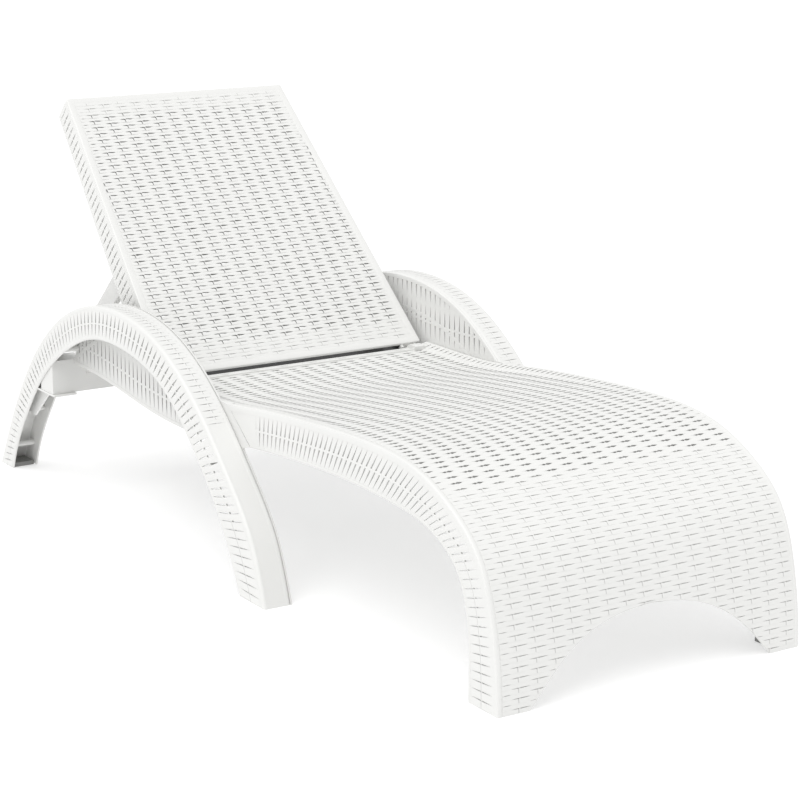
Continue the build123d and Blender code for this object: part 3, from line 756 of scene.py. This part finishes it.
piece("arm_wall_right", wall, "base", resin, "resin_weave", "arm_panel_right")
piece("arm_wall_left", mirrored(wall), "base", resin, "resin_weave", "arm_panel_left")

# %% [markdown]
# The back is a shallow tray. It is easiest to draw lying flat, as it lies when the lounger is flat, and then to
# turn about the hinge by the angle at which the frame holds it. Its weave has through slits except in the rows
# nearest its two ends.

# %% Back surface
BACK_ROW = 8.4 * MM
BACK_EDGE = 13.5 * MM    # width of the smooth border
BLIND_ROWS = (5, 4)      # rows with a skin behind them, at the lower and the upper end
back_rows = int((BACK_LENGTH * MM - 2 * BACK_EDGE) / BACK_ROW)
BACK_ROW = (BACK_LENGTH * MM - 2 * BACK_EDGE) / back_rows
TILT = radians(BACK_REST)


def tilted(x, y, z):
    """A point of the flat back turned about the hinge: y' = y cos - z sin and z' = y sin + z cos from there."""
    dy, dz = y - HINGE[0] * MM, z - HINGE[1] * MM
    out_y = HINGE[0] * MM + dy * cos(TILT) - dz * sin(TILT) - LENGTH / 2 * MM
    out_z = HINGE[1] * MM + dy * sin(TILT) + dz * cos(TILT)
    return np.stack(np.broadcast_arrays(x, out_y, out_z), -1)


def back_half(d):
    """Half width at a distance d from the lower edge."""
    return (BACK_HALF[0] + (BACK_HALF[1] - BACK_HALF[0]) * d / (BACK_LENGTH * MM)) * MM


def back_place(u, v, h):
    """X is u, v counts rows from the border at the hinge end, and h is the height above the face."""
    y = BACK_Y * MM + BACK_EDGE + v * BACK_ROW
    return tilted(u, y, SEAT_Z * MM + h)


def back_spans(row):
    """One strand from border to border, as the back narrows towards its top."""
    edge = float(back_half(BACK_EDGE + (row + 1) * BACK_ROW)) - 15 * MM
    return [(-edge, edge)]


back_cut = look(71 * MM, 0.22, 0.8, 0.3, 3.6, outer=0.26, fade=10 * MM, dip=0.9, left=0.75)
blind_cut = look(71 * MM, 0.13, 0.6, 0.2, 3.6, outer=0.26, fade=10 * MM, dip=0.5, dark=0.35, left=0.75)
middle = back_rows // 2
blind_top = back_rows - BLIND_ROWS[1]
low_half = strands(back_place, range(0, BLIND_ROWS[0]), back_spans, blind_cut)
low_half += strands(back_place, range(BLIND_ROWS[0], middle), back_spans, back_cut)
piece("back_weave_low", low_half, "back", resin, "resin_weave", "backrest")
high_half = strands(back_place, range(middle, blind_top), back_spans, back_cut)
high_half += strands(back_place, range(blind_top, back_rows), back_spans, blind_cut)
piece("back_weave_high", high_half, "back", resin, "resin_weave", "backrest")
print("rows in the back", back_rows)

# %% [markdown]
# A rim with rounded corners frames the back. Its profile is carried round a rounded outline: at a distance d
# in from the edge the outline's corner radius is R - d, so the corners stay round and never fold over.


# %% Rim, skirts and end walls of the back
def back_outline(d, height, radius=4.0, steps=7):
    """The back's outline in by d millimetres, at a height, as points on four sides and four corner arcs."""
    turn = np.linspace(0, pi / 2, steps)
    r = max(radius - d, 0.01)
    points = []
    for sx, sy, first in ((1, 0, -pi / 2), (1, 1, 0.0), (-1, 1, pi / 2), (-1, 0, pi)):
        y = BACK_LENGTH - d - r if sy else d + r
        x = sx * (float(back_half(y * MM)) / MM - d - r)
        points.append(np.stack([x + r * np.cos(first + turn), y + r * np.sin(first + turn)], 1))
    ring = np.concatenate(points) * MM
    return tilted(ring[:, 0], BACK_Y * MM + ring[:, 1], (SEAT_Z + height) * MM)


frame_profile = [(16.5, -1.0), (14, -0.4), (10, 0), (2.6, 0), (1.1, -0.3), (0.3, -1.1), (0, -2.6), (0, -6),
                 (0, -12), (4, -12), (4, -7), (8, -4.2), (16.5, -4.2)]
trim = [loop(np.stack([back_outline(d, h) for d, h in frame_profile], 1))]
skins = []
for v0, v1 in ((-0.6, 5.2), (back_rows - 4.2, back_rows + 0.6)):
    skin_v = np.linspace(v0, v1, 6)
    half = back_half(BACK_EDGE + skin_v * BACK_ROW)[:, None] - 14 * MM
    skins.append(slab(back_place, half * np.linspace(-1, 1, 9), skin_v, *SKIN))


def flat_plate(x0, x1, y0, y1, z0, z1, shade=None):
    """A box of the flat back, from its lows to its highs in millimetres, turned with it."""
    x = np.array([x0, x1, x1, x0]) * MM
    z = np.array([z0, z0, z1, z1]) * MM
    return tube(np.array([tilted(x, np.full(4, y * MM), z) for y in (y0, y1)]), shade)


def flat_rod(y, z, radius, x0, x1, sides=20):
    """A round boss of the flat back, along X."""
    turn = np.arange(sides) * 2 * pi / sides
    ring = [tilted(np.full(sides, x * MM), (y + radius * np.cos(turn)) * MM, (z + radius * np.sin(turn)) * MM)
            for x in (x0, x1)]
    return tube(np.array(ring))


back_top = BACK_Y + BACK_LENGTH
trim.append(flat_plate(-250, 250, back_top - 4, back_top, SEAT_Z - BACK_DEPTH[1], SEAT_Z - 11))
seam = np.tile([3.0, 2.9], (2, 2))    # past 2.5, so painted nearly black as the shade in the joint line at the hinge, and uneven, as piece clears even faces
# Thin plates on the back's lower end walls carry this painted shade of the gap at the hinge.
for x0, x1 in ((-285, -277.4), (-251.2, 251.2), (277.4, 285)):
    trim.append(flat_plate(x0, x1, BACK_Y - 0.15, BACK_Y + 4, SEAT_Z - 22, SEAT_Z - 5.5, seam))
piece("back_rim", trim + skins, "back", resin, "resin_weave", "backrest")

BACK_SLOTS = 38


def side_place(u, v, h):
    """On the back's right side: u is the share down from the rim to the lower bead, and v counts slots."""
    d = (11 + (BACK_LENGTH - 22) * v / BACK_SLOTS) * MM
    depth = (BACK_DEPTH[0] + (BACK_DEPTH[1] - BACK_DEPTH[0]) * d / (BACK_LENGTH * MM)) * MM
    drop = 11.5 * MM * u + (depth - 6 * MM) * (1 - u)
    return tilted(back_half(d) + h, BACK_Y * MM + d, SEAT_Z * MM - drop)


side = strands(side_place, range(0, BACK_SLOTS), across_whole, slot_cut)
bead_d = np.array([0.0, BACK_LENGTH]) * MM
bead_depth = np.array(BACK_DEPTH) * MM
bead = []
for rise, inset in ((7, 0), (2, 0), (0.6, 0.6), (0, 1.6), (0, 4), (7, 4)):
    bead_z = SEAT_Z * MM - bead_depth + rise * MM
    bead.append(tilted(back_half(bead_d) - inset * MM, BACK_Y * MM + bead_d, bead_z))
side.append(tube(np.stack(bead, 1)))
for d0, d1 in ((0, 11.5), (BACK_LENGTH - 11.5, BACK_LENGTH)):
    end_d = np.array([d0, d1]) * MM
    depth = np.interp(end_d, bead_d, bead_depth)
    corner = []
    for inset, low in ((0.2, 1), (0.2, 0), (4, 0), (4, 1)):
        corner_z = SEAT_Z * MM - np.where(low, depth - 2 * MM, 0.011)
        corner.append(tilted(back_half(end_d) - inset * MM, BACK_Y * MM + end_d, corner_z))
    side.append(tube(np.stack(corner, 1)))
piece("back_skirts", side + mirrored(side), "back", resin, "resin_weave", "backrest")

# %% [markdown]
# Behind the weave the tray is stiffened by straight ribs both ways. Two pairs of ears carry the prop and two
# pairs take the hinge pins. The lengthwise ribs are shallow where the prop's bar lies when the back is flat.

# %% Ribs and ears of the back
LINK = 319              # hinge to prop pivot, and prop pivot to bar, in millimetres
SAG = radians(2)        # how far below level the pivot lies from the hinge when the back is flat
PIVOT_FLAT = (HINGE[0] + LINK * cos(SAG), HINGE[1] - LINK * sin(SAG))
bar_y = HINGE[0] + 2 * LINK * cos(SAG)
ribs = []
for x in (-185, -95, 0, 95, 185):
    for y0, y1 in ((BACK_Y + 2, bar_y - 11), (bar_y + 11, BACK_Y + BACK_LENGTH - 3)):
        ribs.append(flat_plate(x - 1.5, x + 1.5, y0, y1, SEAT_Z - 28, SEAT_Z - 3.3))
    ribs.append(flat_plate(x - 1.5, x + 1.5, bar_y - 12, bar_y + 12, SEAT_Z - 13, SEAT_Z - 3.3))
for step in range(1, 6):
    y = BACK_Y + step * BACK_LENGTH / 6
    ribs.append(flat_plate(-185, 185, y - 1.5, y + 1.5, SEAT_Z - 20, SEAT_Z - 3.3))
ears = []
for x0, x1 in ((246, 251.7), (276.9, 282.6)):
    ears.append(flat_rod(*HINGE, 14, x0, x1))
    ears.append(flat_plate(x0, x1, HINGE[0] + 3, HINGE[0] + 60, HINGE[1] - 10, SEAT_Z - 3.4))
for x0, x1 in ((226, 230), (248, 252)):
    ears.append(flat_rod(*PIVOT_FLAT, 14, x0, x1))
    ears.append(flat_plate(x0, x1, PIVOT_FLAT[0] - 24, PIVOT_FLAT[0] + 24, PIVOT_FLAT[1], SEAT_Z - 3.4))
piece("back_ribs", ribs + ears + mirrored(ears), "back", resin, "resin_weave", "backrest")

# %% [markdown]
# The parts that the CAD already shapes keep their meshes and get better finishes: plain resin for the rails,
# beam and prop, zinc-plated steel for the fasteners, pins and bar, and black rubber for the glides.


# %% Zinc-plated steel and rubber
def plated_steel(name, colour, shade, roughness):
    """Zinc plate is pale and cloudy: its spangle is a 3 mm noise, and a finer one breaks up the gloss."""
    material, tree, shader = blank(name)
    place = node(tree, "ShaderNodeTexCoord").outputs["Object"]
    cloud = node(tree, "ShaderNodeTexNoise", [(place, "Vector")], in_Scale=1 / 0.003, in_Detail=4.0)
    tint = node(tree, "ShaderNodeMix", [(cloud.outputs["Fac"], "Factor")], data_type="RGBA")
    tint.inputs["A"].default_value = linear(colour)
    tint.inputs["B"].default_value = linear(shade)
    gloss = node(tree, "ShaderNodeMapRange", [(cloud.outputs["Fac"], "Value")],
                 in_To_Min=roughness - 0.08, in_To_Max=roughness + 0.12)
    bump = node(tree, "ShaderNodeBump", [(cloud.outputs["Fac"], "Height")], in_Strength=0.2, in_Distance=0.00005)
    tree.links.new(tint.outputs["Result"], shader.inputs["Base Color"])
    tree.links.new(gloss.outputs["Result"], shader.inputs["Roughness"])
    tree.links.new(bump.outputs["Normal"], shader.inputs["Normal"])
    shader.inputs["Metallic"].default_value = 1.0
    return material


def rubber(name, colour, shade):
    """Moulded rubber: nearly black, a broad weak gloss and a 0.8 mm grain, drawn coarse enough to show."""
    material, tree, shader = blank(name)
    place = node(tree, "ShaderNodeTexCoord").outputs["Object"]
    grain = node(tree, "ShaderNodeTexNoise", [(place, "Vector")], in_Scale=1 / 0.0008, in_Detail=3.0)
    tint = node(tree, "ShaderNodeMix", [(grain.outputs["Fac"], "Factor")], data_type="RGBA")
    tint.inputs["A"].default_value = linear(colour)
    tint.inputs["B"].default_value = linear(shade)
    bump = node(tree, "ShaderNodeBump", [(grain.outputs["Fac"], "Height")], in_Strength=0.4, in_Distance=0.0001)
    tree.links.new(tint.outputs["Result"], shader.inputs["Base Color"])
    tree.links.new(bump.outputs["Normal"], shader.inputs["Normal"])
    shader.inputs["Roughness"].default_value = 0.72
    return material


steel = plated_steel("zinc_plated_steel", "#C9CBCC", "#AEB1B4", 0.32)
glide_rubber = rubber("grey_moulded_rubber", "#8E8E8C", "#7C7C7A")
finishes = {"resin_smooth": smooth_resin, "steel": steel, "glide_rubber": glide_rubber, "resin_weave": resin}
for part in frame["record"]["subparts"]:
    mesh = frame["nodes"][part["node"]].data
    mesh.materials.clear()
    mesh.materials.append(finishes[part["material_slot"]])

# %% [markdown]
# The stage is a large sheet of pale paper. It gives off some light of its own, as a sheet lit from below does,
# so that it stays close to white where the lounger shades it.

# %% Floor
bpy.ops.mesh.primitive_plane_add(size=60, location=(0, 0, 0))
floor = bpy.context.object
floor.name = "floor"
floor_finish, tree, shader = blank("white_studio_paper")
speck = node(tree, "ShaderNodeTexNoise", [(node(tree, "ShaderNodeTexCoord").outputs["Object"], "Vector")],
             in_Scale=40.0)
tint = node(tree, "ShaderNodeMix", [(speck.outputs["Fac"], "Factor")], data_type="RGBA")
tint.inputs["A"].default_value = linear("#CFCFCF")
tint.inputs["B"].default_value = linear("#CCCCCC")
tree.links.new(tint.outputs["Result"], shader.inputs["Base Color"])
shader.inputs["Roughness"].default_value = 0.95
shader.inputs["Emission Color"].default_value = (1, 1, 1, 1)
shader.inputs["Emission Strength"].default_value = 0.45
shader.inputs["Specular IOR Level"].default_value = 0.0
floor.data.materials.append(floor_finish)
floor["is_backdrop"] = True

# %% [markdown]
# A white sky gives the even light of a studio tent, and one very soft key light from above, the left and the
# front models the forms. White on white needs the plain view transform, because a film-like one would turn
# every white grey.

# %% Light
world = bpy.data.worlds.new("studio_tent")
bpy.context.scene.world = world
world.use_nodes = True
sky = world.node_tree.nodes["Background"]
sky.inputs["Color"].default_value = (1, 1, 1, 1)
sky.inputs["Strength"].default_value = 0.8
sun_data = bpy.data.lights.new("soft_key", "SUN")
sun_data.energy = 1.6
sun_data.angle = radians(55)
sun = bpy.data.objects.new("soft_key", sun_data)
bpy.context.collection.objects.link(sun)
sun.rotation_euler = Vector((0.40, 0.15, -0.90)).to_track_quat("-Z", "Y").to_euler()
bpy.context.scene.view_settings.view_transform = "Standard"

# %% [markdown]
# The camera stands at the foot end, to the left, a little above the back, and looks down along the lounger with
# a long lens, so the far edges shrink only a little.

# %% Camera
view = bpy.data.cameras.new("camera")
view.lens = 107.3
view.sensor_width = 36
camera = bpy.data.objects.new("camera", view)
bpy.context.collection.objects.link(camera)
bpy.context.scene.camera = camera
heading, pitch = radians(32.29), radians(13.89)
camera.location = (-2.307, -3.789, 1.378)
aim = Vector((sin(heading) * cos(pitch), cos(heading) * cos(pitch), -sin(pitch)))
camera.rotation_euler = aim.to_track_quat("-Z", "Y").to_euler()

# %% [markdown]
# The finished lounger's box is measured and printed, as the CAD's box was at the start.

# %% Measure the size
low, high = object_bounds()
print("visual box", tuple(low), tuple(high))
